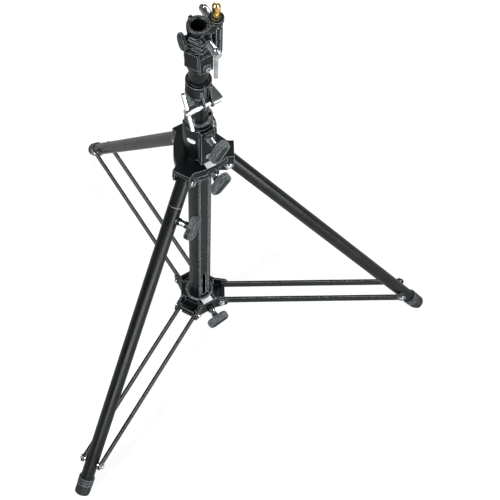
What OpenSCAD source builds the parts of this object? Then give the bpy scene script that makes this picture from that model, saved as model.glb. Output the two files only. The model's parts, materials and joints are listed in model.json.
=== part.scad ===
// Crank lighting stand: three folding legs, one adjustable for level, two risers and a combination head.
// Millimetres, +Z up. The origin is on the floor, on the axis of the column. Leg B points along +X.

/* [Column] */
// Radius of the three rounded lobes of the column
column_r = 26.5; // [25:0.5:29]
// Distance from the axis to the three flats of the column
column_flat = 22.7; // [22.7:0.1:24]
// Height of the lower end of the column
column_bottom = 40; // [36:1:60]

/* [Risers] */
// Outer radius of the geared riser
riser_1_r = 20.3; // [19:0.1:20.3]
// Outer radius of the clamped riser
riser_2_r = 18.5; // [17:0.1:18.5]
// Lower end of the geared riser
riser_1_bottom = 200; // [150:5:210]
// Lower end of the clamped riser
riser_2_bottom = 300; // [230:5:400]

/* [Legs] */
// Distance of each leg's hinge pin from the axis
hinge_r = 60; // [60:1:64]
// Height of the hinge pins
hinge_z = 649; // [600:1:700]
// Angle between a leg and the vertical when the stand is open
leg_tilt = 36.7; // [30:0.1:40]
// Outer radius of a leg tube
leg_r = 15; // [12:0.5:15]
// Distance along a leg from its hinge pin to the pivot of the braces
brace_along = 724.6; // [700:0.1:740]
// Distance along a leg from its hinge pin to the end of the foot
leg_end = 812; // [800:1:820]

/* [Collar and braces] */
// Distance from the axis to the inner pivot of the braces
collar_pivot_r = 55; // [54:1:58]
// Distance from the middle of a leg to the middle of each brace
brace_side = 21.5; // [21.5:0.1:23]
// Height of the flat brace bars
brace_h = 22; // [16:1:22]
// Thickness of the flat brace bars
brace_t = 4.6; // [3:0.1:4.6]

/* [Hub] */
// Height of the top face of the leg hub
hub_top = 680; // [678:1:690]
// Height of the top of the riser guide neck
neck_top = 793; // [780:1:800]

/* [Geared lift] */
// Height of the crank shaft
shaft_z = 622; // [615:1:630]
// Number of teeth on the pinion
pinion_teeth = 14; // [14:1:14]
// Length of the crank between the shaft and the grip
crank_length = 62; // [50:1:62]

/* [Head] */
// Height of the rim of the socket
socket_top = 1058; // [1040:1:1080]
// Radius of the socket's bore for a 28.6 mm stud
socket_r = 14.4; // [14.35:0.05:14.5]
// Radius of the brass spigot, 5/8 inch across
spigot_r = 7.94; // [7.9:0.01:8]

/* [Hidden] */
$fn = 64;

// Directions of the legs, as seen from above
az_b = 0;
az_c = 120;
az_a = 240;
// The lock knobs and the socket screw all face between legs A and B
az_front = 300;

// Clearances between parts
run_gap = 0.06;
free_gap = 0.35;

// Column section
column_wall = 2.05;
groove_r = 1.2;
groove_side = 10.6;
slot_w = 10;
slot_bottom = 96;
slot_top = 190;
column_top = 700;

// Risers
riser_wall = 1.45;
riser_1_top = 885;
riser_2_top = 985;

// Leg tubes
leg_wall = 1.6;
leg_top_along = -12;
leg_tube_end = 784;
foot_r = 17.5;
foot_start = 768;
inner_tube_r = leg_r - leg_wall - run_gap;
inner_tube_end = 300;
sleeve_end = 60;
pin_r = 4;
level_along = 90;

// Hub
arm_half_w = 20;
arm_end_r = 71;
arm_gap_half = leg_r + 0.5;
hub_bottom = 632;
sleeve_bottom = 612;
sleeve_r = 31;
web_z = 662;
web_r = 50;
neck_r = 28;
bush_r = 25.4;
hub_screw_z = 662;
riser_screw_z = 765;
square_nut_z = 705;
pad_r = 36;
cover_r = 31.2;
badge_z = 746;

// Gear
gear_module = 1;
pinion_r = gear_module * pinion_teeth / 2;
rack_tip_x = 23.8;
rack_pitch_x = rack_tip_x - gear_module;
shaft_x = rack_pitch_x + pinion_r + 0.15;
shaft_r = 4;
rack_half_w = 4;
rack_bottom = riser_1_bottom + 6;
rack_top = 785;
tooth_pitch = PI * gear_module;
crank_y = 96;
crank_t = 8;
grip_length = 56;
housing_r = 15;

// Collar
collar_z = hinge_z - brace_along * cos(leg_tilt);
collar_bottom = 35;
collar_top = 88;
lug_r = 53;
lug_pin_r = 7;
lug_half_w = brace_side - brace_t / 2 - 0.4;
cheek_inner = brace_side + brace_t / 2 + 0.4;
cheek_outer = cheek_inner + 5;
cheek_r = 70;
collar_screw_z = 72;
brace_length = hinge_r + brace_along * sin(leg_tilt) - collar_pivot_r;

// Knobs
knob_half = 14;
knob_end_r = 12.5;
knob_t = 16;
screw_r = 4;
collar_knob_x = 72;
hub_knob_x = 67;
riser_knob_x = 60;

// Riser clamp
clamp_bottom = 873;
clamp_top = 905;
clamp_r = 25;
clamp_screw_z = 863;
clamp_screw_out = 29;
clamp_barrel = 46;
ear_left = -6;
ear_right = 8;
ear_t = 3.2;

// Head
head_bottom = 945;
head_r = 20;
ring_r = 21.4;
socket_depth = 58;
socket_screw_z = 1043;
spigot_az = 30;
spigot_out = 36;
spigot_screw_az = 120;
spigot_screw_z = 1036;
holder_r = 12.5;
holder_bottom = 966;
disc_r = 14.7;
disc_top = socket_top - 3;
spigot_head = 35;
side_az = 200;
side_z = 1023;
bar_r = 4;
bar_gap = 0.15;

// ---------------------------------------------------------------- helpers

module at_az(a) {
    rotate([0, 0, a]) children();
}

// Local +Z runs down the leg from its hinge pin, and local +X faces the column.
module along_leg(a) {
    at_az(a) translate([hinge_r, 0, hinge_z]) rotate([0, 180 - leg_tilt, 0]) children();
}

// Cylinder along +X from x0 to x1
module rod_x(x0, x1, r) {
    translate([x0, 0, 0]) rotate([0, 90, 0]) cylinder(h = x1 - x0, r = r);
}

// Cylinder along Y from y0 to y1
module rod_y(y0, y1, r) {
    translate([0, y0, 0]) rotate([-90, 0, 0]) cylinder(h = y1 - y0, r = r);
}

module tube(r_out, r_in, z0, z1) {
    translate([0, 0, z0]) difference() {
        cylinder(h = z1 - z0, r = r_out);
        translate([0, 0, -1]) cylinder(h = z1 - z0 + 2, r = r_in);
    }
}

// Column outline: a circle with three flats that face between the legs
module column_outline(grow) {
    intersection_for(a = [60, 180, 300])
        rotate(a) intersection() {
            circle(r = column_r + grow, $fn = 96);
            translate([-60, -60]) square([60 + column_flat + grow, 120]);
        }
}

// Oval outline of a lock knob, made smaller by inset
module oval(inset) {
    for (side = [-1, 1]) translate([0, side * knob_half]) circle(r = knob_end_r - inset, $fn = 48);
    square([2 * (knob_end_r - inset), 2 * knob_half], center = true);
}

// Slice of the oval between two distances along +X
module oval_slice(x0, x1, inset) {
    translate([x0, 0, 0]) rotate([0, 90, 0]) linear_extrude(x1 - x0) oval(inset);
}

// Lock knob along +X: neck, oval body with a stepped rim and a dished face. turn spins it about X.
module oval_knob(x0, turn) {
    neck = 9;
    front = neck + knob_t;
    translate([x0, 0, 0]) rotate([turn, 0, 0]) difference() {
        union() {
            rod_x(0, neck + 2, 7.5);
            oval_slice(neck, neck + 1.4, 1.4);
            oval_slice(neck + 1.3, front - 5, 0);
            oval_slice(front - 5.1, front - 3.6, 1.6);
            oval_slice(front - 3.7, front - 1.6, 0.6);
            oval_slice(front - 1.7, front, 2.2);
        }
        oval_slice(front - 0.8, front + 1, 4.6);
        rod_x(-1, neck + 6, screw_r);
    }
}

// Screw for a lock knob along +X, with a washer face at the boss
module knob_screw(x_tip, x_washer, x_knob) {
    rod_x(x_tip, x_knob + 15, screw_r);
    rod_x(x_washer, x_knob, 6.5);
}

// T screw along +X: shank, stepped barrel and a cross hole for the sliding bar. tilt leans the hole.
module t_screw(x_tip, x0, x1, x_bar, tilt) {
    rod_x(x_tip, x0 + 1, screw_r);
    translate([0, 0, 0]) difference() {
        union() {
            rod_x(x0, x0 + 8, 6.2);
            rod_x(x0 + 8, x_bar - 7, 7.4, $fn = 12);
            rod_x(x_bar - 7, x1 - 3, 8);
            rod_x(x1 - 3, x1, 6.6);
        }
        translate([x_bar, 0, 0]) rotate([tilt, 0, 0]) translate([0, 0, -20]) cylinder(h = 40, r = bar_r + bar_gap);
    }
}

// Sliding bar through a T screw's barrel, from low to high along the leaned vertical
module t_bar(x_bar, tilt, low, high) {
    translate([x_bar, 0, 0]) rotate([tilt, 0, 0]) translate([0, 0, low]) {
        cylinder(h = high - low, r = bar_r);
        translate([0, 0, -1.2]) cylinder(h = 1.21, r1 = bar_r - 1.2, r2 = bar_r);
        translate([0, 0, high - low - 0.01]) cylinder(h = 1.21, r1 = bar_r, r2 = bar_r - 1.2);
    }
}

// ---------------------------------------------------------------- column and hub

module column() {
    color([0.09, 0.1, 0.11]) difference() {
        translate([0, 0, column_bottom]) linear_extrude(column_top - column_bottom) difference() {
            column_outline(0);
            for (a = [60, 180, 300], s = [-1, 1])
                rotate(a) translate([column_flat + 0.3, s * groove_side]) circle(r = groove_r, $fn = 24);
            column_outline(-column_wall);
        }
        at_az(az_front) translate([0, -slot_w / 2, slot_bottom]) cube([40, slot_w, slot_top - slot_bottom]);
        at_az(az_front) translate([0, 0, slot_top]) rod_x(0, 40, slot_w / 2);
        translate([shaft_x, 0, shaft_z]) rod_y(-6.5, 6.5, pinion_r + 2.2);
        translate([shaft_x, 0, shaft_z]) rod_y(-12, 12, shaft_r + 2.5);
    }
}

// One arm of the hub
module hub_arm(a) {
    at_az(a) translate([15, -arm_half_w, hub_bottom]) cube([arm_end_r - 15, 2 * arm_half_w, hub_top - hub_bottom]);
}

// What one arm leaves open: the leg's pocket, the bores of its hinge pin and a chamfer under its end
module arm_opening(a) {
    at_az(a) {
        translate([sleeve_r + 8, -arm_gap_half, hub_bottom - 1])
            cube([60, 2 * arm_gap_half, hinge_z + 21.5 - hub_bottom]);
        translate([hinge_r, 0, hinge_z]) rod_y(-30, 30, pin_r + run_gap);
        translate([arm_end_r, 0, hub_bottom]) rotate([0, 45, 0]) translate([-10, -30, -10]) cube([20, 60, 20]);
    }
}

module hub_casting() {
    color([0.06, 0.06, 0.065]) difference() {
        union() {
            for (a = [az_a, az_b, az_c]) hub_arm(a);
            translate([0, 0, sleeve_bottom]) cylinder(h = hub_top - sleeve_bottom, r = sleeve_r);
            translate([0, 0, web_z]) linear_extrude(hub_top - web_z)
                polygon([for (a = [az_a, az_b, az_c], d = [-44, -16, 16, 44])
                    (abs(d) > 30 ? web_r + 3 : arm_end_r - 8) * [cos(a + d), sin(a + d)]]);
            translate([0, 0, hub_top - 1]) cylinder(h = neck_top - hub_top + 1, r = neck_r);
            // boss of the column lock screw
            at_az(az_front) translate([0, 0, hub_screw_z]) rod_x(20, 55, 10);
            // pad of the riser lock screw
            at_az(az_front) translate([15, -15, hub_top - 1]) cube([pad_r - 15, 30, neck_top - hub_top - 12]);
            at_az(az_front) translate([0, 0, riser_screw_z]) rod_x(15, pad_r + 4, 9);
            // gear chamber beside the column
            translate([shaft_x - 12, -14, shaft_z - 14]) cube([24, 28, 28]);
        }
        for (a = [az_a, az_b, az_c]) arm_opening(a);
        // column socket, then the seat of the guide bush
        translate([0, 0, sleeve_bottom - 20]) linear_extrude(column_top - sleeve_bottom + 20) column_outline(0.05);
        translate([0, 0, column_top - 1]) cylinder(h = 120, r = bush_r);
        // bores of the lock screws
        at_az(az_front) translate([0, 0, hub_screw_z]) rod_x(0, 80, screw_r + run_gap);
        at_az(az_front) translate([0, 0, riser_screw_z]) rod_x(0, 80, screw_r + run_gap);
        at_az(az_front) translate([0, 0, square_nut_z]) rod_x(26, 80, screw_r);
        // pinion chamber and the seats of the shaft's bushes
        translate([shaft_x, 0, shaft_z]) rod_y(-6.5, 6.5, pinion_r + 2.2);
        translate([shaft_x, 0, shaft_z]) rod_y(-12, 40, shaft_r + 2.5);
    }
}

// Rounded front shell of the neck
module hub_cover() {
    color([0.08, 0.09, 0.1]) difference() {
        intersection() {
            translate([0, 0, hub_top]) cylinder(h = 100, r = cover_r);
            at_az(228) translate([0, 0, hub_top + 26]) union() {
                translate([10, -22, 0]) cube([30, 44, 78]);
                rod_x(10, 40, 22 + 4);
            }
        }
        translate([0, 0, hub_top - 1]) cylinder(h = 140, r = neck_r);
        at_az(az_front) translate([0, -15.05, hub_top - 2]) cube([50, 30.1, 140]);
    }
}

// Blank plates: an oval one on the shell and a flat one on the hub
module badge_plates() {
    color([0.85, 0.87, 0.88]) {
        intersection() {
            tube(cover_r + 0.7, cover_r, hub_top, neck_top);
            at_az(241) translate([0, -9.5, badge_z - 6.5]) cube([60, 19, 13]);
            at_az(241) translate([0, 0, badge_z]) rotate([45, 0, 0]) translate([0, -8.5, -8.5]) cube([60, 17, 17]);
        }
        at_az(az_front) translate([pad_r + 1, -10, hub_top]) cube([14, 20, 0.8]);
    }
}

module guide_ring() {
    color([0.78, 0.8, 0.82]) difference() {
        union() {
            tube(bush_r, riser_1_r + free_gap, neck_top - 4, neck_top + 4);
            tube(bush_r + 1.4, riser_1_r + free_gap, neck_top, neck_top + 2.5);
        }
        translate([0, -rack_half_w - 0.5, neck_top - 6]) cube([rack_tip_x + 0.4, 2 * rack_half_w + 1, 20]);
    }
}

module guide_bush() {
    color([0.2, 0.2, 0.2]) difference() {
        tube(bush_r, riser_1_r + run_gap, column_top, neck_top - 4);
        translate([0, -rack_half_w - 0.5, column_top - 1]) cube([rack_tip_x + 0.4, 2 * rack_half_w + 1, 120]);
        at_az(az_front) translate([0, 0, riser_screw_z]) rod_x(0, 80, screw_r + run_gap);
    }
}

// Housing of the crank shaft and its load brake, behind the hub
module gear_housing() {
    color([0.07, 0.07, 0.075]) difference() {
        translate([shaft_x, 0, shaft_z]) union() {
            rod_y(14, 40, housing_r);
            rod_y(39, 46, housing_r - 3);
            rod_y(45, crank_y - 6, 9);
        }
        translate([shaft_x, 0, shaft_z]) rod_y(10, 100, shaft_r + 2.5);
        translate([0, 0, sleeve_bottom - 20]) cylinder(h = 100, r = sleeve_r);
        translate([0, -arm_half_w, hub_bottom]) cube([90, 2 * arm_half_w, 60]);
        translate([shaft_x - 12, 0, shaft_z - 14]) cube([24, 14, 28]);
    }
}

// Square plated nuts on the pad and the four screws of the gear housing
module hub_fasteners() {
    color([0.75, 0.77, 0.8]) {
        at_az(az_front) translate([pad_r, 0, square_nut_z]) difference() {
            translate([0, -6.5, -6.5]) cube([3.5, 13, 13]);
            rod_x(2.5, 9, 4.2);
        }
        at_az(az_front) translate([pad_r - 8, 0, square_nut_z]) rod_x(0, 10, screw_r);
        translate([shaft_x, 40, shaft_z]) for (a = [45 : 90 : 315])
            rotate([0, a, 0]) translate([housing_r - 1.4, 0, 0]) rod_y(0, 1.6, 1.4);
    }
}

module shaft_bushes() {
    color([0.7, 0.55, 0.25]) translate([shaft_x, 0, shaft_z]) for (y = [-11.5, 6.8, crank_y - 22])
        difference() {
            rod_y(y, y + (y > 20 ? 15 : 4.5), shaft_r + 2.5);
            rod_y(y - 1, y + 20, shaft_r + run_gap);
        }
}

// Hinge pin across the hub's arm: bolt head on one side, nut on the other
module hinge_pin_at(a) {
    at_az(a) translate([hinge_r, 0, hinge_z]) {
        rod_y(-arm_half_w, arm_half_w + 1, pin_r);
        rod_y(-arm_half_w - 4, -arm_half_w, 7);
        rod_y(arm_half_w, arm_half_w + 5, 7, $fn = 6);
    }
}

module hinge_pins() {
    color([0.75, 0.77, 0.8]) for (a = [az_b, az_c]) hinge_pin_at(a);
}

module hinge_pin_a() {
    color([0.75, 0.77, 0.8]) hinge_pin_at(az_a);
}

// ---------------------------------------------------------------- legs

module leg_tube(a) {
    color([0.09, 0.1, 0.11]) along_leg(a) difference() {
        tube(leg_r, leg_r - leg_wall, leg_top_along, leg_tube_end);
        rod_y(-30, 30, pin_r + 2);
        translate([0, 0, brace_along]) rod_y(-30, 30, 5.5);
    }
}

module leg_foot(a) {
    color([0.04, 0.04, 0.04]) intersection() {
        along_leg(a) difference() {
            translate([0, 0, foot_start]) cylinder(h = leg_end - foot_start, r = foot_r);
            translate([0, 0, foot_start - 1]) cylinder(h = leg_tube_end - foot_start + 1, r = leg_r);
        }
        translate([-700, -700, 0]) cube([1400, 1400, 200]);
    }
}

// Plug in the top of a tube with the bore of the hinge pin
module pivot_plug(a, r) {
    along_leg(a) difference() {
        translate([0, 0, leg_top_along]) cylinder(h = 34, r = r);
        rod_y(-30, 30, pin_r + run_gap);
    }
}

// Cross tube inside the leg for the bolts of the braces
module cross_tube(a) {
    along_leg(a) translate([0, 0, brace_along]) difference() {
        rod_y(-leg_r, leg_r, 5.5);
        rod_y(-30, 30, 4.2);
    }
}

module leg_fittings(a) {
    color([0.5, 0.52, 0.54]) {
        pivot_plug(a, leg_r - leg_wall);
        intersection() {
            cross_tube(a);
            along_leg(a) cylinder(h = 900, r = leg_r);
        }
    }
}

module leg_b_tube() { leg_tube(az_b); }
module leg_b_foot() { leg_foot(az_b); }
module leg_b_fittings() { leg_fittings(az_b); }
module leg_c_tube() { leg_tube(az_c); }
module leg_c_foot() { leg_foot(az_c); }
module leg_c_fittings() { leg_fittings(az_c); }

// Levelling leg: a short sleeve at the hinge carries the inner tube
module leg_a_inner_tube() {
    color([0.12, 0.13, 0.14]) along_leg(az_a) difference() {
        union() {
            tube(leg_r, leg_r - leg_wall, leg_top_along, 30);
            tube(leg_r, inner_tube_r - 1.4, 30, sleeve_end);
            tube(inner_tube_r, inner_tube_r - 1.4, sleeve_end - 1, inner_tube_end);
        }
        rod_y(-30, 30, pin_r + 2);
    }
}

module leg_a_pivot() {
    color([0.5, 0.52, 0.54]) pivot_plug(az_a, leg_r - leg_wall);
}

module leg_a_tube() {
    color([0.09, 0.1, 0.11]) along_leg(az_a) difference() {
        tube(leg_r, leg_r - leg_wall, sleeve_end + 0.3, leg_tube_end);
        translate([0, 0, level_along]) rod_y(0, 30, screw_r + 1);
        translate([0, 0, brace_along]) rod_y(-30, 30, 5.5);
    }
}

module leg_a_foot() { leg_foot(az_a); }

// Threaded boss of the levelling screw and the cross tube of the braces
module leg_a_boss() {
    color([0.06, 0.06, 0.065]) {
        along_leg(az_a) translate([0, 0, level_along]) difference() {
            rod_y(8, leg_r + 6, 8);
            rod_y(0, 40, screw_r + run_gap);
            translate([0, 0, -20]) cylinder(h = 40, r = leg_r);
        }
        intersection() {
            cross_tube(az_a);
            along_leg(az_a) cylinder(h = 900, r = leg_r);
        }
    }
}

// Levelling knob, on the side of leg A that faces leg B
module on_level_axis() {
    along_leg(az_a) translate([0, 0, level_along]) rotate([0, 0, 90]) children();
}

module levelling_knob() {
    color([0.05, 0.05, 0.055]) on_level_axis() oval_knob(leg_r + 17, 62);
}

module levelling_screw() {
    color([0.78, 0.8, 0.82]) on_level_axis() knob_screw(inner_tube_r + 0.35, leg_r + 6.2, leg_r + 17);
}

// ---------------------------------------------------------------- collar and braces

module collar_lug(a) {
    at_az(a) translate([20, -lug_half_w, collar_bottom])
        cube([lug_r - 20, 2 * lug_half_w, collar_z + 2 - collar_bottom]);
    at_az(a) translate([collar_pivot_r, 0, collar_z]) rod_y(-lug_half_w, lug_half_w, lug_pin_r);
}

// Outer cheeks that hold the braces' pins; the cheeks of neighbouring legs share a bridge
module collar_cheeks(a) {
    at_az(a) for (s = [-1, 1])
        translate([34, s > 0 ? cheek_inner : -cheek_outer, 0]) hull() {
            translate([0, 0, collar_bottom + 6]) cube([4, cheek_outer - cheek_inner, collar_top - collar_bottom - 6]);
            translate([collar_pivot_r - 34, 0, collar_z]) rod_y(0, cheek_outer - cheek_inner, cheek_r - collar_pivot_r);
        }
}

module collar_casting() {
    color([0.06, 0.06, 0.065]) difference() {
        union() {
            translate([0, 0, collar_bottom]) cylinder(h = collar_top - collar_bottom, r = 33);
            for (a = [az_a, az_b, az_c]) collar_lug(a);
            for (a = [az_a, az_b, az_c]) collar_cheeks(a);
            // bridges between the cheeks of neighbouring legs
            for (a = [60, 180, 300]) at_az(a)
                translate([20, -21, collar_bottom + 6]) cube([24, 42, collar_top - collar_bottom - 6]);
            at_az(az_front) translate([0, 0, collar_screw_z]) rod_x(30, 60, 9);
        }
        translate([0, 0, collar_bottom - 1]) linear_extrude(80) column_outline(free_gap + 2);
        for (a = [az_a, az_b, az_c]) at_az(a) translate([collar_pivot_r, 0, collar_z])
            rod_y(-50, 50, pin_r + run_gap);
        for (a = [az_a, az_b, az_c], s = [-1, 1]) at_az(a)
            translate([34, s * brace_side - brace_t / 2 - 0.4, collar_bottom - 1])
                cube([60, brace_t + 0.8, 100]);
        at_az(az_front) translate([0, 0, collar_screw_z]) rod_x(0, 90, screw_r + run_gap);
    }
}

module collar_liner() {
    color([0.25, 0.25, 0.25]) difference() {
        translate([0, 0, collar_bottom + 1]) linear_extrude(collar_top - collar_bottom - 2) difference() {
            column_outline(free_gap + 2);
            column_outline(free_gap);
        }
        at_az(az_front) translate([0, 0, collar_screw_z]) rod_x(0, 90, screw_r + run_gap);
    }
}

module collar_plate() {
    color([0.85, 0.87, 0.88]) at_az(az_front) translate([28.5, -13, collar_top]) cube([15, 26, 0.8]);
}

// Pin of the braces on one lug
module brace_pin_at(a) {
    at_az(a) translate([collar_pivot_r, 0, collar_z]) {
        rod_y(-cheek_outer - 1, cheek_outer + 1, pin_r);
        for (s = [-1, 1]) translate([0, s * (cheek_outer + 2), 0]) rod_y(-2, 2, 6.5);
    }
}

module brace_pins() {
    color([0.75, 0.77, 0.8]) for (a = [az_b, az_c]) brace_pin_at(a);
}

module brace_pin_a() {
    color([0.75, 0.77, 0.8]) brace_pin_at(az_a);
}

// Two flat bars between the collar and a leg
module braces(a) {
    color([0.09, 0.1, 0.11]) at_az(a) translate([collar_pivot_r, 0, collar_z]) for (s = [-1, 1])
        translate([0, s * brace_side - brace_t / 2, 0]) difference() {
            union() {
                rod_y(0, brace_t, brace_h / 2);
                translate([brace_length, 0, 0]) rod_y(0, brace_t, brace_h / 2);
                translate([0, 0, -brace_h / 2]) cube([brace_length, brace_t, brace_h]);
            }
            rod_y(-1, brace_t + 1, pin_r + run_gap);
            translate([brace_length, 0, 0]) rod_y(-1, brace_t + 1, pin_r);
        }
}

// Bolts at the legs' end of the braces: spacer against the tube, shank in the bar, domed nut outside
module brace_bolts(a) {
    color([0.75, 0.77, 0.8]) at_az(a) translate([collar_pivot_r + brace_length, 0, collar_z]) for (s = [-1, 1])
        mirror([0, s > 0 ? 0 : 1, 0]) {
            rod_y(leg_r + free_gap, brace_side - brace_t / 2, 6);
            rod_y(brace_side - brace_t / 2 - 1, brace_side + brace_t / 2 + 1, pin_r);
            rod_y(brace_side + brace_t / 2, brace_side + brace_t / 2 + 3.5, 6.5, $fn = 6);
            rod_y(brace_side + brace_t / 2 + 3, brace_side + brace_t / 2 + 6, 4.6);
        }
}

module braces_a() { braces(az_a); }
module braces_b() { braces(az_b); }
module braces_c() { braces(az_c); }
module brace_bolts_a() { brace_bolts(az_a); }
module brace_bolts_b() { brace_bolts(az_b); }
module brace_bolts_c() { brace_bolts(az_c); }

// ---------------------------------------------------------------- lock knobs

module on_front(z) {
    at_az(az_front) translate([0, 0, z]) children();
}

module collar_knob() { color([0.05, 0.05, 0.055]) on_front(collar_screw_z) oval_knob(collar_knob_x, 18); }
module collar_screw() {
    color([0.78, 0.8, 0.82]) on_front(collar_screw_z) knob_screw(column_flat + 0.2, 60.3, collar_knob_x);
}
module hub_knob() { color([0.05, 0.05, 0.055]) on_front(hub_screw_z) oval_knob(hub_knob_x, 48); }
module hub_screw() {
    color([0.78, 0.8, 0.82]) on_front(hub_screw_z) knob_screw(column_flat + 0.2, 55.3, hub_knob_x);
}
module riser_knob() { color([0.05, 0.05, 0.055]) on_front(riser_screw_z) oval_knob(riser_knob_x, 56); }
module riser_screw() {
    color([0.78, 0.8, 0.82]) on_front(riser_screw_z) {
        knob_screw(riser_1_r + 0.3, pad_r + 4.3, riser_knob_x);
        translate([pad_r + 4.3, -6.5, -6.5]) cube([3.5, 13, 13]);
    }
}

// ---------------------------------------------------------------- geared lift

// Pinion outline with straight-flanked teeth; a gap faces the rack at rest
module pinion_outline() {
    step = 360 / pinion_teeth;
    root = pinion_r - 1.2 * gear_module;
    tip = pinion_r + 0.9 * gear_module;
    polygon([for (i = [0 : pinion_teeth - 1], p = [[root, -6.2], [pinion_r, -4.4], [tip, -1.6], [tip, 1.6],
        [pinion_r, 4.4], [root, 6.2]]) p[0] * [cos(i * step + p[1]), sin(i * step + p[1])]]);
}

module crank_shaft() {
    color([0.7, 0.72, 0.75]) translate([shaft_x, 0, shaft_z]) {
        translate([0, -5, 0]) rotate([-90, 0, 0]) rotate(180 + 180 / pinion_teeth) linear_extrude(10) pinion_outline();
        rod_y(-11, crank_y + crank_t + 3, shaft_r);
        rod_y(crank_y + crank_t, crank_y + crank_t + 5, 6.5, $fn = 6);
    }
}

// Flat steel arm, hanging straight down at rest, with the spindle of its grip
module crank_arm() {
    color([0.75, 0.77, 0.8]) translate([shaft_x, crank_y, shaft_z]) {
        difference() {
            union() {
                rod_y(0, crank_t, 9);
                translate([0, 0, -crank_length]) rod_y(0, crank_t, 8);
                translate([-6, 0, -crank_length]) cube([12, crank_t, crank_length]);
            }
            rod_y(-1, crank_t + 1, shaft_r);
        }
        translate([0, 0, -crank_length]) rod_y(crank_t - 1, crank_t + grip_length + 5, 4);
        translate([0, 0, -crank_length]) rod_y(crank_t + grip_length + 3, crank_t + grip_length + 5, 6);
    }
}

module crank_grip() {
    color([0.05, 0.05, 0.05]) translate([shaft_x, crank_y + crank_t + 1, shaft_z - crank_length])
        rotate([-90, 0, 0]) rotate_extrude() polygon([[4 + run_gap, 0], [7.5, 0], [8.5, 3], [9.6, grip_length * 0.45],
            [8.8, grip_length - 5], [7, grip_length], [4 + run_gap, grip_length]]);
}

module riser_tube(r, z0, z1) {
    tube(r, r - riser_wall, z0, z1);
}

module riser_1_tube() {
    color([0.08, 0.085, 0.09]) riser_tube(riser_1_r, riser_1_bottom, riser_1_top);
}

// Toothed strip on the side of the geared riser that faces leg B
module rack() {
    teeth = floor((rack_top - rack_bottom) / tooth_pitch);
    first = shaft_z - tooth_pitch * floor((shaft_z - rack_bottom) / tooth_pitch);
    root_x = rack_tip_x - 2.2 * gear_module;
    flank = [[root_x - 0.01, 1.0], [rack_tip_x, 0.32], [rack_tip_x, -0.32], [root_x - 0.01, -1.0]];
    color([0.7, 0.72, 0.75]) difference() {
        translate([0, rack_half_w, 0]) rotate([90, 0, 0]) linear_extrude(2 * rack_half_w) {
            polygon(concat([[riser_1_r - 1, rack_bottom]],
                [for (i = [0 : teeth - 2], p = [[root_x, -1.1], [rack_tip_x, -0.35], [rack_tip_x, 0.35], [root_x, 1.1]])
                    [p[0], first + i * tooth_pitch + p[1]]],
                [[riser_1_r - 1, rack_top]]));
        }
        cylinder(h = 2000, r = riser_1_r);
    }
}

// Split clamp at the top of the geared riser: rings, two ears and the wing that covers the long nut
module riser_clamp() {
    color([0.06, 0.06, 0.065]) difference() {
        union() {
            translate([0, 0, clamp_bottom]) cylinder(h = clamp_top - clamp_bottom, r = clamp_r);
            translate([0, 0, clamp_bottom - 3]) cylinder(h = 4, r = clamp_r + 0.8);
            at_az(az_front) for (y = [ear_left - ear_t, ear_right]) hull() {
                translate([15, y, clamp_bottom - 2]) cube([4, ear_t, clamp_top - clamp_bottom]);
                translate([clamp_screw_out, y, clamp_screw_z]) rod_y(0, ear_t, 10.5);
            }
            at_az(az_front) hull() {
                translate([14, ear_right, clamp_top - 16]) cube([12, 8, 14]);
                translate([24, ear_right, clamp_screw_z + 9]) cube([14, 22, 3]);
            }
        }
        translate([0, 0, clamp_bottom - 40]) cylinder(h = riser_1_top - clamp_bottom + 40, r = riser_1_r);
        cylinder(h = 2000, r = riser_2_r + run_gap);
        at_az(az_front) translate([clamp_screw_out, 0, clamp_screw_z]) rod_y(-40, 60, screw_r + run_gap);
        at_az(az_front) translate([clamp_screw_out, 0, clamp_screw_z]) rod_y(ear_right + ear_t, 60, 8.9);
        at_az(az_front) translate([0, -1, clamp_bottom - 10]) cube([60, 2, 60]);
    }
}

// Ribbed sleeve below the clamp
module ribbed_sleeve() {
    ribs = 6;
    color([0.07, 0.07, 0.075]) difference() {
        union() {
            translate([0, 0, 838]) cylinder(h = 32, r = 22.2);
            for (i = [0 : ribs - 1]) translate([0, 0, 841 + i * 4.6]) cylinder(h = 2.2, r = 23.4);
        }
        translate([0, 0, 830]) cylinder(h = 60, r = riser_1_r);
        at_az(az_front) translate([15, -10, clamp_screw_z - 16]) cube([30, 24, 40]);
    }
}

// The riser clamp's T screw runs towards the left, across the split
module on_clamp_axis() {
    at_az(az_front) translate([clamp_screw_out, 0, clamp_screw_z]) rotate([0, 0, -90]) children();
}

module clamp_screw() {
    color([0.82, 0.84, 0.86]) on_clamp_axis() {
        t_screw(-29, -ear_left + ear_t + 0.3, clamp_barrel, clamp_barrel - 6, 25);
        rod_x(-28, -ear_right - ear_t - 0.3, 8.6);
        rod_x(-ear_right + 0.3, -ear_left - 0.3, 6.2);
    }
}

module clamp_bar() {
    color([0.82, 0.84, 0.86]) on_clamp_axis() t_bar(clamp_barrel - 6, 25, -40, 40);
}

// ---------------------------------------------------------------- clamped riser and head

module riser_2_tube() {
    color([0.08, 0.085, 0.09]) riser_tube(riser_2_r, riser_2_bottom, riser_2_top);
}

module riser_2_bush() {
    color([0.25, 0.25, 0.25]) {
        translate([0, 0, riser_2_bottom - 6]) cylinder(h = 6, r = riser_2_r);
        translate([0, 0, riser_2_bottom - 0.01]) cylinder(h = 20, r = riser_2_r - riser_wall);
    }
}

module at_spigot() {
    at_az(spigot_az) translate([spigot_out, 0, 0]) children();
}

// Square-cornered gusset of the head, between the faces towards 240 and 330 degrees
module gusset(z0, z1, reach) {
    at_az(az_a) translate([0, 0, z0]) linear_extrude(z1 - z0)
        polygon([[-4, -6], [reach, -6], [reach, reach - 2], [-4, reach - 2]]);
}

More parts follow.
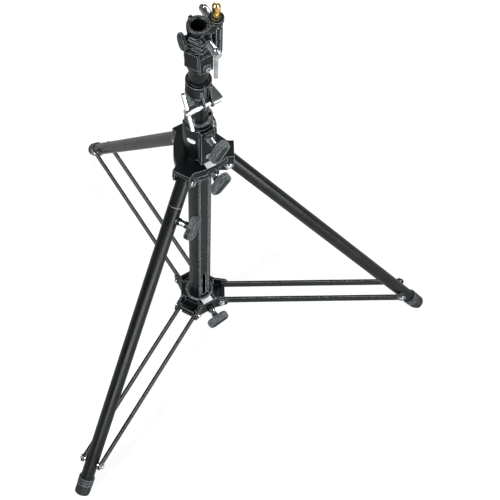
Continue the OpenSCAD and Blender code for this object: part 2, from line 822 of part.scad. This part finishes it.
module head_body() {
    h = socket_top - head_bottom;
    translate([0, 0, head_bottom]) rotate_extrude($fn = 72) polygon([[0, 0], [riser_2_r + 3, 0],
        [riser_2_r + 6.5, 12], [riser_2_r + 8, 30], [riser_2_r + 7, 60], [head_r, 82], [head_r, h - 15],
        [ring_r, h - 12], [ring_r, h - 1.5], [ring_r - 1.5, h], [0, h]]);
}

module head_casting() {
    color([0.07, 0.07, 0.075]) difference() {
        union() {
            head_body();
            gusset(1012, 1040, 21);
            for (z = [1014, 1025, 1036]) gusset(z, z + 3, 25);
            // cheek towards leg A and the front block that holds the lower nut
            at_az(az_a) translate([0, -13, 966]) cube([28.5, 28, 40]);
            on_front(0) translate([10, -14, 956]) cube([19, 28, 42]);
            on_front(970) rod_x(20, 31.5, 7.5);
            // boss of the socket screw
            on_front(socket_screw_z) rod_x(10, 36, 8);
            // bridge, holder and disc of the spigot
            at_az(spigot_az) translate([5, -11, socket_top - 28]) cube([spigot_out, 22, 22]);
            at_az(spigot_az) translate([5, -5, holder_bottom + 4]) cube([spigot_out, 10, 80]);
            at_spigot() translate([0, 0, holder_bottom]) cylinder(h = disc_top - holder_bottom, r = holder_r);
            at_spigot() translate([0, 0, disc_top - 7]) cylinder(h = 7, r = disc_r);
            at_spigot() at_az(spigot_screw_az - spigot_az) translate([0, 0, spigot_screw_z]) rod_x(0, 18, 8);
            // boss of the side knob and the small lug on the rim
            at_az(side_az) translate([0, 0, side_z]) rod_x(10, 25, 10);
            at_az(128) translate([ring_r - 3, -3.5, socket_top - 9]) cube([6.5, 7, 9]);
        }
        translate([0, 0, socket_top - socket_depth]) cylinder(h = 100, r = socket_r);
        translate([0, 0, socket_top - 3]) cylinder(h = 6, r1 = socket_r - 0.3, r2 = socket_r + 5);
        translate([0, 0, head_bottom - 10]) cylinder(h = riser_2_top - head_bottom + 10, r = riser_2_r);
        at_spigot() translate([0, 0, socket_top - 52]) cylinder(h = 100, r = spigot_r + run_gap);
        on_front(socket_screw_z) rod_x(0, 60, screw_r + run_gap);
        at_az(side_az) translate([0, 0, side_z]) rod_x(0, 60, screw_r + run_gap);
        at_spigot() at_az(spigot_screw_az - spigot_az) translate([0, 0, spigot_screw_z])
            rod_x(0, 60, screw_r + run_gap);
    }
}

// Plated nuts and screws of the head: one low on the front, two beside the spigot's disc
module head_nuts() {
    color([0.75, 0.77, 0.8]) {
        on_front(970) difference() {
            rod_x(31.5, 36, 6.6, $fn = 6);
            rod_x(34.5, 40, 3.6);
        }
        at_spigot() for (a = [285, 318]) at_az(a - spigot_az) translate([0, 0, disc_top - 14])
            rod_x(holder_r, holder_r + 1.8, 2.4);
    }
}

module socket_screw() {
    color([0.82, 0.84, 0.86]) on_front(socket_screw_z) t_screw(socket_r + 0.4, 36.3, 69, 60.5, 0);
}

module socket_bar() {
    color([0.82, 0.84, 0.86]) on_front(socket_screw_z) t_bar(60.5, 0, -66, 10);
}

module on_spigot_screw() {
    at_spigot() at_az(spigot_screw_az - spigot_az) translate([0, 0, spigot_screw_z]) children();
}

module spigot_screw() {
    color([0.82, 0.84, 0.86]) on_spigot_screw() t_screw(spigot_r + 0.2, 18.3, 48, 39, 0);
}

module spigot_bar() {
    color([0.82, 0.84, 0.86]) on_spigot_screw() t_bar(39, 0, -62, 10);
}

module side_knob() {
    color([0.05, 0.05, 0.055]) at_az(side_az) translate([0, 0, side_z]) {
        rod_x(socket_r + 0.4, 27, screw_r);
        translate([26.3, 0, 0]) rotate([0, 90, 0]) rotate_extrude() polygon([[0, 0], [16, 0], [17, 1.5], [17, 6],
            [14, 9], [0, 11]]);
    }
}

// Brass stud: shank in the holder, then body, neck and domed head
module spigot() {
    z0 = socket_top - 50;
    color([0.85, 0.62, 0.25]) at_spigot() translate([0, 0, disc_top]) rotate_extrude() polygon([[0, z0 - disc_top],
        [spigot_r, z0 - disc_top], [spigot_r, 9], [5.4, 10.5], [5.4, 16], [spigot_r, 17.5],
        [spigot_r, spigot_head - 6.6], [6.6, spigot_head - 3.6], [4, spigot_head - 0.6], [0, spigot_head]]);
}

// ---------------------------------------------------------------- drawing

column();
hub_casting();
hub_cover();
badge_plates();
guide_ring();
guide_bush();
gear_housing();
hub_fasteners();
shaft_bushes();
hinge_pins();
leg_b_tube();
leg_b_foot();
leg_b_fittings();
leg_c_tube();
leg_c_foot();
leg_c_fittings();
hinge_pin_a();
leg_a_inner_tube();
leg_a_pivot();
leg_a_tube();
leg_a_foot();
leg_a_boss();
levelling_knob();
levelling_screw();
collar_casting();
collar_liner();
collar_plate();
brace_pins();
brace_pin_a();
braces_a();
braces_b();
braces_c();
brace_bolts_a();
brace_bolts_b();
brace_bolts_c();
collar_knob();
collar_screw();
hub_knob();
hub_screw();
riser_knob();
riser_screw();
crank_shaft();
crank_arm();
crank_grip();
riser_1_tube();
rack();
riser_clamp();
ribbed_sleeve();
clamp_screw();
clamp_bar();
riser_2_tube();
riser_2_bush();
head_casting();
socket_screw();
socket_bar();
spigot_screw();
spigot_bar();
side_knob();
spigot();
head_nuts();
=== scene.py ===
import json
import math

import bpy
from mathutils import Euler, Matrix, Vector


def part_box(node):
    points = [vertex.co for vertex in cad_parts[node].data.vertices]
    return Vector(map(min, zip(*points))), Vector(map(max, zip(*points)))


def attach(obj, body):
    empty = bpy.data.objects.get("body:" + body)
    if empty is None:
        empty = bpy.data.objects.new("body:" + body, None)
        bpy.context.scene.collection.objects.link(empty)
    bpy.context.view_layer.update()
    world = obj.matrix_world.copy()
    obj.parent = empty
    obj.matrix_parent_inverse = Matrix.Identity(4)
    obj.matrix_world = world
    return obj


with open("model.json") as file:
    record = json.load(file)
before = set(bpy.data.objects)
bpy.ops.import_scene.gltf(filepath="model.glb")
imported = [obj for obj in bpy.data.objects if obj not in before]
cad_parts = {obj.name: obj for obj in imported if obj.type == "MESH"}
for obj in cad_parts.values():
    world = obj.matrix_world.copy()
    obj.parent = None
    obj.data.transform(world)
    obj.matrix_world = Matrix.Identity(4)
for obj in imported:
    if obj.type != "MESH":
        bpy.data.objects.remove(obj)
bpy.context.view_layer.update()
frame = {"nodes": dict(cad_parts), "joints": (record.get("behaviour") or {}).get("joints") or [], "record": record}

NODES = frame["nodes"]
SLOT_OF = {part["node"]: part["material_slot"] for part in frame["record"]["subparts"]}


# ------------------------------------------------------------------ camera, floor and light

CAMERA_PLACE = (-0.0140, -1.3854, 2.6814)
CAMERA_HEADING = 84.6
CAMERA_DIP = 60.0
CAMERA_ROLL = 3.98
CAMERA_LENS = 87.24
ROOM_LIGHT = 0.1
FLOOR_GLOW = 0.78
FLOOR_BOUNCE = 0.13
SPECKLE_SCALE = 520


def make_camera():
    """A steep view from above, between legs A and B."""
    data = bpy.data.cameras.new("camera")
    data.lens = CAMERA_LENS
    data.sensor_width = 36
    data.clip_end = 50
    camera = bpy.data.objects.new("camera", data)
    tilt = Euler((math.radians(90 - CAMERA_DIP), 0, math.radians(CAMERA_HEADING - 90)))
    turn = Matrix.Rotation(math.radians(CAMERA_ROLL), 3, "Z")
    camera.matrix_world = Matrix.Translation(CAMERA_PLACE) @ (tilt.to_matrix() @ turn).to_4x4()
    bpy.context.collection.objects.link(camera)
    bpy.context.scene.camera = camera


def make_floor():
    bpy.ops.mesh.primitive_plane_add(size=80, location=(0, 0, -0.0005))
    floor = bpy.context.object
    floor.name = "floor"
    floor.data.materials.append(floor_material())


def area_light(name, place, size, power, aim=(0, 0, 0.5)):
    data = bpy.data.lights.new(name, "AREA")
    data.shape = "RECTANGLE"
    data.size, data.size_y = size
    data.energy = power
    light = bpy.data.objects.new(name, data)
    light.location = place
    light.visible_camera = False
    light.rotation_euler = (Vector(aim) - Vector(place)).to_track_quat("-Z", "Y").to_euler()
    bpy.context.collection.objects.link(light)


def make_lights():
    area_light("key", (-2.2, -1.6, 2.9), (0.7, 1.6), 105)
    area_light("fill", (2.6, -1.4, 1.9), (0.6, 2.0), 60)
    area_light("rim", (0.6, 2.8, 2.2), (2.0, 0.6), 60)
    area_light("front strip", (0.4, -2.3, 0.4), (3.2, 0.4), 34)
    area_light("right strip", (1.9, -1.3, 0.4), (1.6, 0.4), 25)
    world = bpy.data.worlds.new("studio")
    world.use_nodes = True
    nodes, links = world.node_tree.nodes, world.node_tree.links
    room = nodes["Background"]
    room.inputs["Color"].default_value = (0.92, 0.96, 1, 1)
    room.inputs["Strength"].default_value = ROOM_LIGHT
    backdrop = nodes.new("ShaderNodeBackground")
    backdrop.inputs["Strength"].default_value = 1.0
    chooser = nodes.new("ShaderNodeMixShader")
    ray = nodes.new("ShaderNodeLightPath")
    links.new(ray.outputs["Is Camera Ray"], chooser.inputs["Fac"])
    links.new(room.outputs["Background"], chooser.inputs[1])
    links.new(backdrop.outputs["Background"], chooser.inputs[2])
    links.new(chooser.outputs["Shader"], nodes["World Output"].inputs["Surface"])
    bpy.context.scene.world = world
    bpy.context.scene.view_settings.view_transform = "Standard"


# ------------------------------------------------------------------ materials

def new_material(name):
    """A node material with its nodes and links."""
    material = bpy.data.materials.new(name)
    material.use_nodes = True
    return material, material.node_tree.nodes, material.node_tree.links


def floor_material():
    material, nodes, links = new_material("pale_floor")
    shader = nodes["Principled BSDF"]
    shader.inputs["Base Color"].default_value = (0.3, 0.3, 0.3, 1)
    shader.inputs["Roughness"].default_value = 0.9
    shader.inputs["Specular IOR Level"].default_value = 0.1
    shader.inputs["Emission Color"].default_value = (1, 1, 1, 1)
    ray = nodes.new("ShaderNodeLightPath")
    links.new(ranged(nodes, links, ray.outputs["Is Camera Ray"], 0, 1, FLOOR_BOUNCE, FLOOR_GLOW),
              shader.inputs["Emission Strength"])
    return material


def mixed(nodes, links, factor, a, b):
    """Colour mix whose inputs are fixed colours or sockets."""
    mix = nodes.new("ShaderNodeMix")
    mix.data_type = "RGBA"
    links.new(factor, mix.inputs["Factor"])
    for socket, value in (("A", a), ("B", b)):
        if isinstance(value, tuple):
            mix.inputs[socket].default_value = (*value, 1)
        else:
            links.new(value, mix.inputs[socket])
    return mix.outputs["Result"]


def ranged(nodes, links, value, low, high, to_low, to_high):
    """Map Range from low..high to to_low..to_high."""
    node = nodes.new("ShaderNodeMapRange")
    for socket, number in (("From Min", low), ("From Max", high), ("To Min", to_low), ("To Max", to_high)):
        node.inputs[socket].default_value = number
    links.new(value, node.inputs["Value"])
    return node.outputs["Result"]


def noise(nodes, links, vector, scale, detail):
    node = nodes.new("ShaderNodeTexNoise")
    node.inputs["Scale"].default_value = scale
    node.inputs["Detail"].default_value = detail
    links.new(vector, node.inputs["Vector"])
    return node.outputs["Fac"]


# How far a bevelled normal turns from the true one, as the cosine, where the painted edge shading starts and where
# it is full
EDGE_START = 0.985
EDGE_FULL = 0.9


def edge_mask(nodes, links, radius):
    """1 along convex and concave edges, 0 on flat faces."""
    bevel = nodes.new("ShaderNodeBevel")
    bevel.samples = 4
    bevel.inputs["Radius"].default_value = radius
    true_normal = nodes.new("ShaderNodeNewGeometry")
    dot = nodes.new("ShaderNodeVectorMath")
    dot.operation = "DOT_PRODUCT"
    links.new(bevel.outputs["Normal"], dot.inputs[0])
    links.new(true_normal.outputs["Normal"], dot.inputs[1])
    return ranged(nodes, links, dot.outputs["Value"], EDGE_START, EDGE_FULL, 0.0, 1.0)


def surface(name, dark, light, rough, metal=0.0, grain=900.0, bump=0.1, depth=0.0002, patch=14.0,
            edge_shading_and_frame=None, stretch=(1, 1, 1), edge=0.0011, gloss=0.5, speckle=None):
    """Procedural finish: colour and roughness vary in soft patches, grain gives the bump, and edges take a painted
    edge colour, mostly painted highlight and painted dark reflection lines, on the blank plate its frame lines.
    """
    material, nodes, links = new_material(name)
    shader = nodes["Principled BSDF"]
    shader.inputs["Metallic"].default_value = metal
    shader.inputs["Specular IOR Level"].default_value = gloss
    place = nodes.new("ShaderNodeTexCoord")
    mapping = nodes.new("ShaderNodeMapping")
    mapping.inputs["Scale"].default_value = stretch
    links.new(place.outputs["Object"], mapping.inputs["Vector"])
    patches = noise(nodes, links, mapping.outputs["Vector"], patch, 6)
    fine = noise(nodes, links, mapping.outputs["Vector"], grain, 3)
    colour = mixed(nodes, links, ranged(nodes, links, patches, 0.3, 0.7, 0.0, 1.0), dark, light)
    roughness = ranged(nodes, links, patches, 0.3, 0.7, rough[0], rough[1])
    if speckle:
        spots = noise(nodes, links, mapping.outputs["Vector"], SPECKLE_SCALE, 2)
        colour = mixed(nodes, links, ranged(nodes, links, spots, 0.5, 0.62, 0.0, 0.8), colour, speckle)
    # Painted edge shading: near bevelled edges the colour turns to the given edge colour, broken into patches by
    # noise; this paints highlights, and dark reflection lines on bright plate
    if edge_shading_and_frame:
        mask = edge_mask(nodes, links, edge)
        patchy_edge_shading = nodes.new("ShaderNodeMath")
        patchy_edge_shading.operation = "MULTIPLY"
        links.new(mask, patchy_edge_shading.inputs[0])
        edge_shading_breakup = noise(nodes, links, mapping.outputs["Vector"], 240, 4)
        links.new(ranged(nodes, links, edge_shading_breakup, 0.35, 0.6, 0.35, 1.0), patchy_edge_shading.inputs[1])
        colour = mixed(nodes, links, patchy_edge_shading.outputs["Value"], colour, edge_shading_and_frame)
    links.new(colour, shader.inputs["Base Color"])
    links.new(roughness, shader.inputs["Roughness"])
    relief = nodes.new("ShaderNodeBump")
    relief.inputs["Strength"].default_value = bump
    relief.inputs["Distance"].default_value = depth
    links.new(fine, relief.inputs["Height"])
    links.new(relief.outputs["Normal"], shader.inputs["Normal"])
    return material


def make_materials():
    # Edge colours: the black finishes and brass get a painted highlight along their edges, the bright plate gets
    # painted dark reflection lines there, and the blank plate's dark edges are its frame lines
    painted_edge_highlight = (0.62, 0.70, 0.73)
    return {
        "black_coat": surface("black_coat", (0.0012, 0.0018, 0.002), (0.004, 0.006, 0.0065), (0.22, 0.32),
                              grain=1100, bump=0.16, edge_shading_and_frame=painted_edge_highlight, edge=0.0012, gloss=0.34),
        "black_casting": surface("black_casting", (0.0015, 0.002, 0.0024), (0.005, 0.007, 0.008), (0.3, 0.44),
                                 grain=700, bump=0.4, edge_shading_and_frame=painted_edge_highlight, edge=0.0014, gloss=0.24),
        "black_plastic": surface("black_plastic", (0.003, 0.004, 0.0045), (0.010, 0.013, 0.014), (0.34, 0.5),
                                 grain=1300, bump=0.5, edge_shading_and_frame=(0.5, 0.56, 0.58), edge=0.001, gloss=0.25,
                                 speckle=(0.045, 0.055, 0.058)),
        "bright_plate": surface("bright_plate", (0.52, 0.55, 0.57), (0.80, 0.83, 0.85), (0.18, 0.32), metal=1,
                                grain=420, bump=0.08, patch=60, edge_shading_and_frame=(0.16, 0.18, 0.19), edge=0.0009),
        "gear_steel": surface("gear_steel", (0.30, 0.31, 0.32), (0.46, 0.47, 0.48), (0.28, 0.42), metal=1,
                              grain=500, bump=0.15, stretch=(1, 1, 6)),
        "brass": surface("brass", (0.86, 0.54, 0.12), (1.0, 0.76, 0.32), (0.16, 0.3), metal=1, grain=380,
                         bump=0.06, patch=80, stretch=(1, 1, 5), edge_shading_and_frame=(0.98, 0.85, 0.55)),
        "bronze": surface("bronze", (0.42, 0.28, 0.12), (0.56, 0.39, 0.18), (0.3, 0.5), metal=1, grain=600,
                          bump=0.1),
        "alloy_insert": surface("alloy_insert", (0.28, 0.29, 0.30), (0.40, 0.41, 0.42), (0.4, 0.6), metal=1,
                                grain=700, bump=0.3),
        "grey_nylon": surface("grey_nylon", (0.006, 0.006, 0.007), (0.014, 0.014, 0.016), (0.5, 0.65),
                              grain=900, bump=0.1, gloss=0.25),
        "blank_plate": surface("blank_plate", (0.66, 0.72, 0.74), (0.82, 0.87, 0.89), (0.3, 0.42), metal=0,
                               grain=700, bump=0.05, edge_shading_and_frame=(0.05, 0.06, 0.065), edge=0.0008),
    }


MATERIALS = make_materials()
CASTINGS = ("hub_casting", "head_casting", "collar_casting", "riser_clamp", "gear_housing", "hub_cover")
CAST_RADIUS = 0.0007


WELD_DISTANCE = 0.00002
CASTING_EDGE_ANGLE = 40
CASTING_CRISP_ANGLE = 42
PIECE_CRISP_ANGLE = 35


def soften(node, radius):
    """Rounds the outer edges of a CAD node, as a casting's are."""
    weld = node.modifiers.new("weld", "WELD")
    weld.merge_threshold = WELD_DISTANCE
    bevel = node.modifiers.new("rounded edges", "BEVEL")
    bevel.width = radius
    bevel.segments = 2
    bevel.limit_method = "ANGLE"
    bevel.angle_limit = math.radians(CASTING_EDGE_ANGLE)
    bevel.use_clamp_overlap = True
    split = node.modifiers.new("crisp", "EDGE_SPLIT")
    split.split_angle = math.radians(CASTING_CRISP_ANGLE)


def dress_nodes():
    """Every CAD node gets the finish of its slot, on each of its material slots."""
    for name, node in NODES.items():
        finish = MATERIALS[SLOT_OF[name]]
        if not node.material_slots:
            node.data.materials.append(finish)
        for slot in node.material_slots:
            slot.material = finish


# ------------------------------------------------------------------ building blocks

JOINTS = {joint["name"]: joint for joint in frame["joints"]}
UP = Vector((0, 0, 1))


def joint_place(name):
    return Vector(JOINTS[name]["pos_m"])


def joint_axis(name):
    return Vector(JOINTS[name]["axis"]).normalized()


def around(axis):
    """Two unit vectors square to axis: sideways first, then the one nearest to up."""
    side = UP.cross(axis)
    if side.length < 0.01:
        side = Vector((1, 0, 0))
    side.normalize()
    return side, axis.cross(side)


def add_piece(name, vertices, faces, finish, body):
    """One mesh piece that rides on a CAD body and takes a slot's finish."""
    mesh = bpy.data.meshes.new(name)
    mesh.from_pydata([tuple(v) for v in vertices], [], faces)
    mesh.validate()
    mesh.update()
    piece = bpy.data.objects.new(name, mesh)
    bpy.context.collection.objects.link(piece)
    mesh.materials.append(MATERIALS[finish])
    for polygon in mesh.polygons:
        polygon.use_smooth = True
    split = piece.modifiers.new("crisp", "EDGE_SPLIT")
    split.split_angle = math.radians(PIECE_CRISP_ANGLE)
    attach(piece, body)
    return piece


def lathe(profile, centre, axis, turns=40):
    """Vertices and faces of a turned shape. profile is (distance along axis, radius) and ends on the axis
    or closes on itself."""
    side, top = around(axis)
    vertices, faces = [], []
    for k in range(turns):
        angle = 2 * math.pi * k / turns
        out = side * math.cos(angle) + top * math.sin(angle)
        vertices += [centre + axis * along + out * radius for along, radius in profile]
    count = len(profile)
    for k in range(turns):
        after = (k + 1) % turns
        for i in range(count):
            nxt = (i + 1) % count
            faces.append((k * count + i, k * count + nxt, after * count + nxt, after * count + i))
    return vertices, faces


def join_shapes(shapes):
    """Several (vertices, faces) as one."""
    vertices, faces = [], []
    for shape_vertices, shape_faces in shapes:
        start = len(vertices)
        vertices += shape_vertices
        faces += [tuple(start + i for i in face) for face in shape_faces]
    return vertices, faces


def bar(points, radius, across, sides=8, closed=False):
    """Round bar along points, all in a plane whose normal is across."""
    vertices, faces = [], []
    count = len(points)
    for i, point in enumerate(points):
        before = points[(i - 1) % count] if closed or i else point
        after = points[(i + 1) % count] if closed or i < count - 1 else point
        flow = (after - before).normalized()
        out = flow.cross(across).normalized()
        for k in range(sides):
            angle = 2 * math.pi * k / sides
            vertices.append(point + (out * math.cos(angle) + across * math.sin(angle)) * radius)
    for i in range(count if closed else count - 1):
        nxt = (i + 1) % count
        for k in range(sides):
            after = (k + 1) % sides
            faces.append((i * sides + k, i * sides + after, nxt * sides + after, nxt * sides + k))
    if not closed:
        faces.append(tuple(reversed(range(sides))))
        faces.append(tuple((count - 1) * sides + k for k in range(sides)))
    return vertices, faces


# ------------------------------------------------------------------ knobs

KNOB_HALF = 0.014
KNOB_END = 0.0125
RIDGE_FROM = 0.0114
RIDGE_TO = 0.0192
RIDGE_COUNT = 72
RIDGE_HALF = 0.0006
RIDGE_HEIGHT = 0.0004
RIDGE_SUNK = 0.00005
KNOB_RING_RADIUS = 0.0005
KNOB_RING_POINTS = 48
# Distance from the start of the neck, and inset from the outline, of the raised rings on the front
KNOB_RINGS = ((0.0201, 0.0), (0.0233, 0.0007), (0.0251, 0.0044))
# Body, joint, distance from the joint's place to the start of the neck, turn of the long axis
KNOBS = (
    ("collar_lock", "collar_knob_spin", 0.0, 18),
    ("hub_lock", "hub_knob_spin", 0.0, 48),
    ("riser_lock", "riser_knob_spin", 0.0, 56),
    ("levelling_lock", "levelling_knob_spin", 0.032, 62),
)


def oval_point(distance):
    """Point and outward normal of the knob's outline, at a distance along it from the middle of one side."""
    arc = math.pi * KNOB_END
    straight = 2 * KNOB_HALF
    distance = distance % (2 * (arc + straight))
    flip = 1
    if distance > arc + straight:
        distance -= arc + straight
        flip = -1
    if distance < straight:
        place, normal = (distance - KNOB_HALF, KNOB_END), (0, 1)
    else:
        angle = math.pi / 2 - (distance - straight) / KNOB_END
        normal = (math.cos(angle), math.sin(angle))
        place = (KNOB_HALF + KNOB_END * normal[0], KNOB_END * normal[1])
    return Vector(place) * flip, Vector(normal) * flip


def knob_ridges(body, joint, offset, turn):
    """Fine grip ridges round the rim of a lock knob, and raised rings on its front."""
    axis = joint_axis(joint)
    side, top = around(axis)
    angle = math.radians(turn)
    long_way = side * math.cos(angle) + top * math.sin(angle)
    short_way = top * math.cos(angle) - side * math.sin(angle)
    start = joint_place(joint) + axis * offset
    perimeter = 2 * (math.pi * KNOB_END + 2 * KNOB_HALF)
    shapes = []
    for k in range(RIDGE_COUNT):
        place, normal = oval_point(perimeter * k / RIDGE_COUNT)
        foot = start + long_way * place.x + short_way * place.y
        out = long_way * normal.x + short_way * normal.y
        tangent = axis.cross(out)
        vertices = []
        for along, height in ((RIDGE_FROM, 0), (RIDGE_FROM + RIDGE_HALF, RIDGE_HEIGHT),
                              (RIDGE_TO - RIDGE_HALF, RIDGE_HEIGHT), (RIDGE_TO, 0)):
            for step in range(5):
                phase = math.pi * step / 4
                vertices.append(foot + axis * along + tangent * (RIDGE_HALF * math.cos(phase))
                                + out * (height * math.sin(phase) - RIDGE_SUNK))
        faces = [(i * 5 + n, i * 5 + n + 1, i * 5 + n + 6, i * 5 + n + 5) for i in range(3) for n in range(4)]
        faces += [tuple(i * 5 + n for n in ends) for i, ends in ((0, (4, 3, 2, 1, 0)), (3, (0, 1, 2, 3, 4)))]
        faces += [(i * 5, i * 5 + 5, i * 5 + 9, i * 5 + 4) for i in range(3)]
        shapes.append((vertices, faces))
    add_piece(body + "_ridges", *join_shapes(shapes), "black_plastic", body)
    rings = []
    for along, inset in KNOB_RINGS:
        points = []
        for k in range(KNOB_RING_POINTS):
            place, normal = oval_point(perimeter * k / KNOB_RING_POINTS)
            place = place - normal * inset
            points.append(start + axis * along + long_way * place.x + short_way * place.y)
        rings.append(bar(points, KNOB_RING_RADIUS, axis, 6, closed=True))
    add_piece(body + "_rings", *join_shapes(rings), "black_plastic", body)


# ------------------------------------------------------------------ bolts, washers and small fittings

LEG_BODIES = {"b": ("leg_b", 0), "c": ("leg_c", 120), "a": ("leg_a_outer", 240)}


def turned(azimuth):
    """Unit vectors outward and sideways at an azimuth in degrees."""
    angle = math.radians(azimuth)
    return Vector((math.cos(angle), math.sin(angle), 0)), Vector((-math.sin(angle), math.cos(angle), 0))


# Washers and heads at the leg hinges: distance of the face from the middle of the arm, radii and thickness
HINGE_FACE = 0.0201
HINGE_HEAD_FACE = 0.0239
HINGE_WASHER = (0.0086, 0.0042, 0.0012)
HINGE_HEAD = (0.0064, 0.0022)
# The same at the inner and the outer end of each brace
LUG_FACE = 0.0293
LUG_HEAD_FACE = 0.0331
LUG_WASHER = (0.0078, 0.0045, 0.0011)
LUG_HEAD = (0.006, 0.0018)
BRACE_FACE = 0.0239
BRACE_WASHER = (0.0084, 0.0045, 0.001)


def washer(centre, axis, outer, inner, thick):
    edge = thick * 0.3
    profile = ((0, inner), (0, outer - edge), (edge, outer), (thick - edge, outer), (thick, outer - edge),
               (thick, inner))
    return lathe(profile, centre, axis)


def button(centre, axis, radius, height):
    """Domed head with a hexagon socket."""
    steps = 5
    dome = [(0, radius)]
    for i in range(1, steps + 1):
        angle = math.pi / 2 * i / steps
        dome.append((height * math.sin(angle), radius * (0.45 + 0.55 * math.cos(angle))))
    dome.append((height * 0.35, radius * 0.42))
    dome.append((height * 0.35, 0.0001))
    dome.append((0, 0.0001))
    return lathe(dome, centre, axis)


def hinge_fittings():
    """Washers under the heads and nuts of the hinge pins, and domed heads on them."""
    for leg, joint, body in (("b", "leg_b_fold", "base"), ("c", "leg_c_fold", "base"),
                             ("a", "leg_a_fold", "leg_a_pin")):
        place = joint_place(joint)
        axis = joint_axis(joint)
        shapes = []
        for way in (-1, 1):
            out = axis * way
            shapes.append(washer(place + out * HINGE_FACE, out, *HINGE_WASHER))
        shapes.append(button(place - axis * HINGE_HEAD_FACE, -axis, *HINGE_HEAD))
        add_piece("hinge_washers_" + leg, *join_shapes(shapes), "bright_plate", body)


def brace_fittings():
    """Washers at both ends of each brace."""
    for leg, pin_joint, pin_body, bar_body in (("b", "brace_b_fold", "collar", "brace_pair_b"),
                                               ("c", "brace_c_fold", "collar", "brace_pair_c"),
                                               ("a", "brace_a_fold", "brace_a_pivot", "brace_pair_a")):
        place = joint_place(pin_joint)
        axis = joint_axis(pin_joint)
        low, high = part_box("brace_bolts_" + leg)
        far = (Vector(low) + Vector(high)) / 2
        inner, outer = [], []
        for way in (-1, 1):
            out = axis * way
            inner.append(washer(place + out * LUG_FACE, out, *LUG_WASHER))
            inner.append(button(place + out * LUG_HEAD_FACE, out, *LUG_HEAD))
            outer.append(washer(far + out * BRACE_FACE, out, *BRACE_WASHER))
        add_piece("collar_washers_" + leg, *join_shapes(inner), "bright_plate", pin_body)
        add_piece("brace_washers_" + leg, *join_shapes(outer), "bright_plate", bar_body)


BAND_PLACES = (0.7695, 0.7765, 0.7835)
BAND_INNER = 0.0172
BAND_SIDE = 0.0178
BAND_OUTER = 0.0183
BAND_WIDTH = 0.0026
BAND_SLOPE = 0.0007


def foot_bands():
    """Raised bands round the rubber feet, at distances along the leg from its hinge pin."""
    down_a = joint_axis("levelling_slide")
    tilt = math.acos(-down_a.z)
    hinge = joint_place("leg_b_fold")
    for leg, (body, azimuth) in LEG_BODIES.items():
        out, _ = turned(azimuth)
        start = out * Vector((hinge.x, hinge.y, 0)).length + UP * hinge.z
        down = out * math.sin(tilt) - UP * math.cos(tilt)
        shapes = []
        for along in BAND_PLACES:
            profile = ((0, BAND_INNER), (0, BAND_SIDE), (BAND_SLOPE, BAND_OUTER),
                       (BAND_WIDTH - BAND_SLOPE, BAND_OUTER), (BAND_WIDTH, BAND_SIDE),
                       (BAND_WIDTH, BAND_INNER))
            shapes.append(lathe(profile, start + down * along, down, 48))
        add_piece("foot_bands_" + leg, *join_shapes(shapes), "black_plastic", body)


FRONT_AZIMUTH = 300
# Distance of the lip's middle from the axis: the lip is sunk into the wall, so that the collar clears it
SLOT_LIP_PLACE = 0.0218
SLOT_HALF = 0.0056
SLOT_LOW = 0.0965
SLOT_HIGH = 0.190
# How much taller than a half circle the slot's pointed top is
SLOT_POINT = 1.9
SLOT_LIP_RADIUS = 0.001


def slot_lip():
    """Rounded lip round the bullet-shaped slot of the column."""
    out, side = turned(FRONT_AZIMUTH)
    face, half, low, high = SLOT_LIP_PLACE, SLOT_HALF, SLOT_LOW, SLOT_HIGH
    points = [out * face + side * -half + UP * low]
    for k in range(13):
        angle = math.pi * (1 - k / 12)
        rise = high + half * SLOT_POINT * math.sin(angle)
        points.append(out * face + side * (half * math.cos(angle)) + UP * rise)
    points.append(out * face + side * half + UP * low)
    add_piece("slot_lip", *bar(points, SLOT_LIP_RADIUS, out), "black_coat", "base")


AXIS_RADIUS = 0.0001
# Plug of the column, as distance along its axis and radius: flange, body, rim and recess
PLUG_PROFILE = ((-0.002, AXIS_RADIUS), (-0.002, 0.0215), (-0.001, 0.0225), (0.0, 0.0225), (0.0, 0.0200),
                (0.022, 0.0200), (0.024, 0.019), (0.024, 0.016), (0.008, 0.015), (0.008, AXIS_RADIUS))


def column_plug():
    """Moulded plug that closes the lower end of the column."""
    low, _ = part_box("column")
    centre = Vector((0, 0, low[2]))
    add_piece("column_plug", *lathe(PLUG_PROFILE, centre, UP, 64), "black_plastic", "base")


RAIL_AZIMUTHS = (272, 308)
HOLDER_RADIUS = 0.0124
RAIL_LOW = 0.970
RAIL_HIGH = 1.036
RAIL_RADIUS = 0.0013


def holder_rails():
    """Two upright rails on the front of the spigot's holder."""
    low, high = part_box("spigot")
    centre = Vector(((low[0] + high[0]) / 2, (low[1] + high[1]) / 2, 0))
    shapes = []
    for azimuth in RAIL_AZIMUTHS:
        out, _ = turned(azimuth)
        foot = centre + out * HOLDER_RADIUS
        shapes.append(bar([foot + UP * RAIL_LOW, foot + UP * RAIL_HIGH], RAIL_RADIUS, out))
    add_piece("holder_rails", *join_shapes(shapes), "black_casting", "riser_2")


# Turned rings: piece, body, (height, outer radius) of each ring, inner radius and thickness
RING_SETS = (
    ("collar_rings", "collar", ((0.0878, 0.0325), (0.0890, 0.0306)), 0.0287, 0.0012),
    ("sleeve_rings", "base", ((0.6122, 0.0316), (0.6250, 0.0316)), 0.0305, 0.0016),
)


def ring_lines():
    """Thin turned rings on the collar's hub and on the sleeve under the leg hub."""
    for name, body, places, inner, thick in RING_SETS:
        shapes = []
        for height, outer in places:
            profile = ((0, inner), (0, outer), (thick, outer), (thick, inner))
            shapes.append(lathe(profile, Vector((0, 0, height)), UP, 64))
        add_piece(name, *join_shapes(shapes), "black_casting", body)


make_camera()
make_floor()
make_lights()
dress_nodes()
for casting in CASTINGS:
    soften(NODES[casting], CAST_RADIUS)
for knob in KNOBS:
    knob_ridges(*knob)
hinge_fittings()
brace_fittings()
foot_bands()
slot_lip()
column_plug()
holder_rails()
ring_lines()
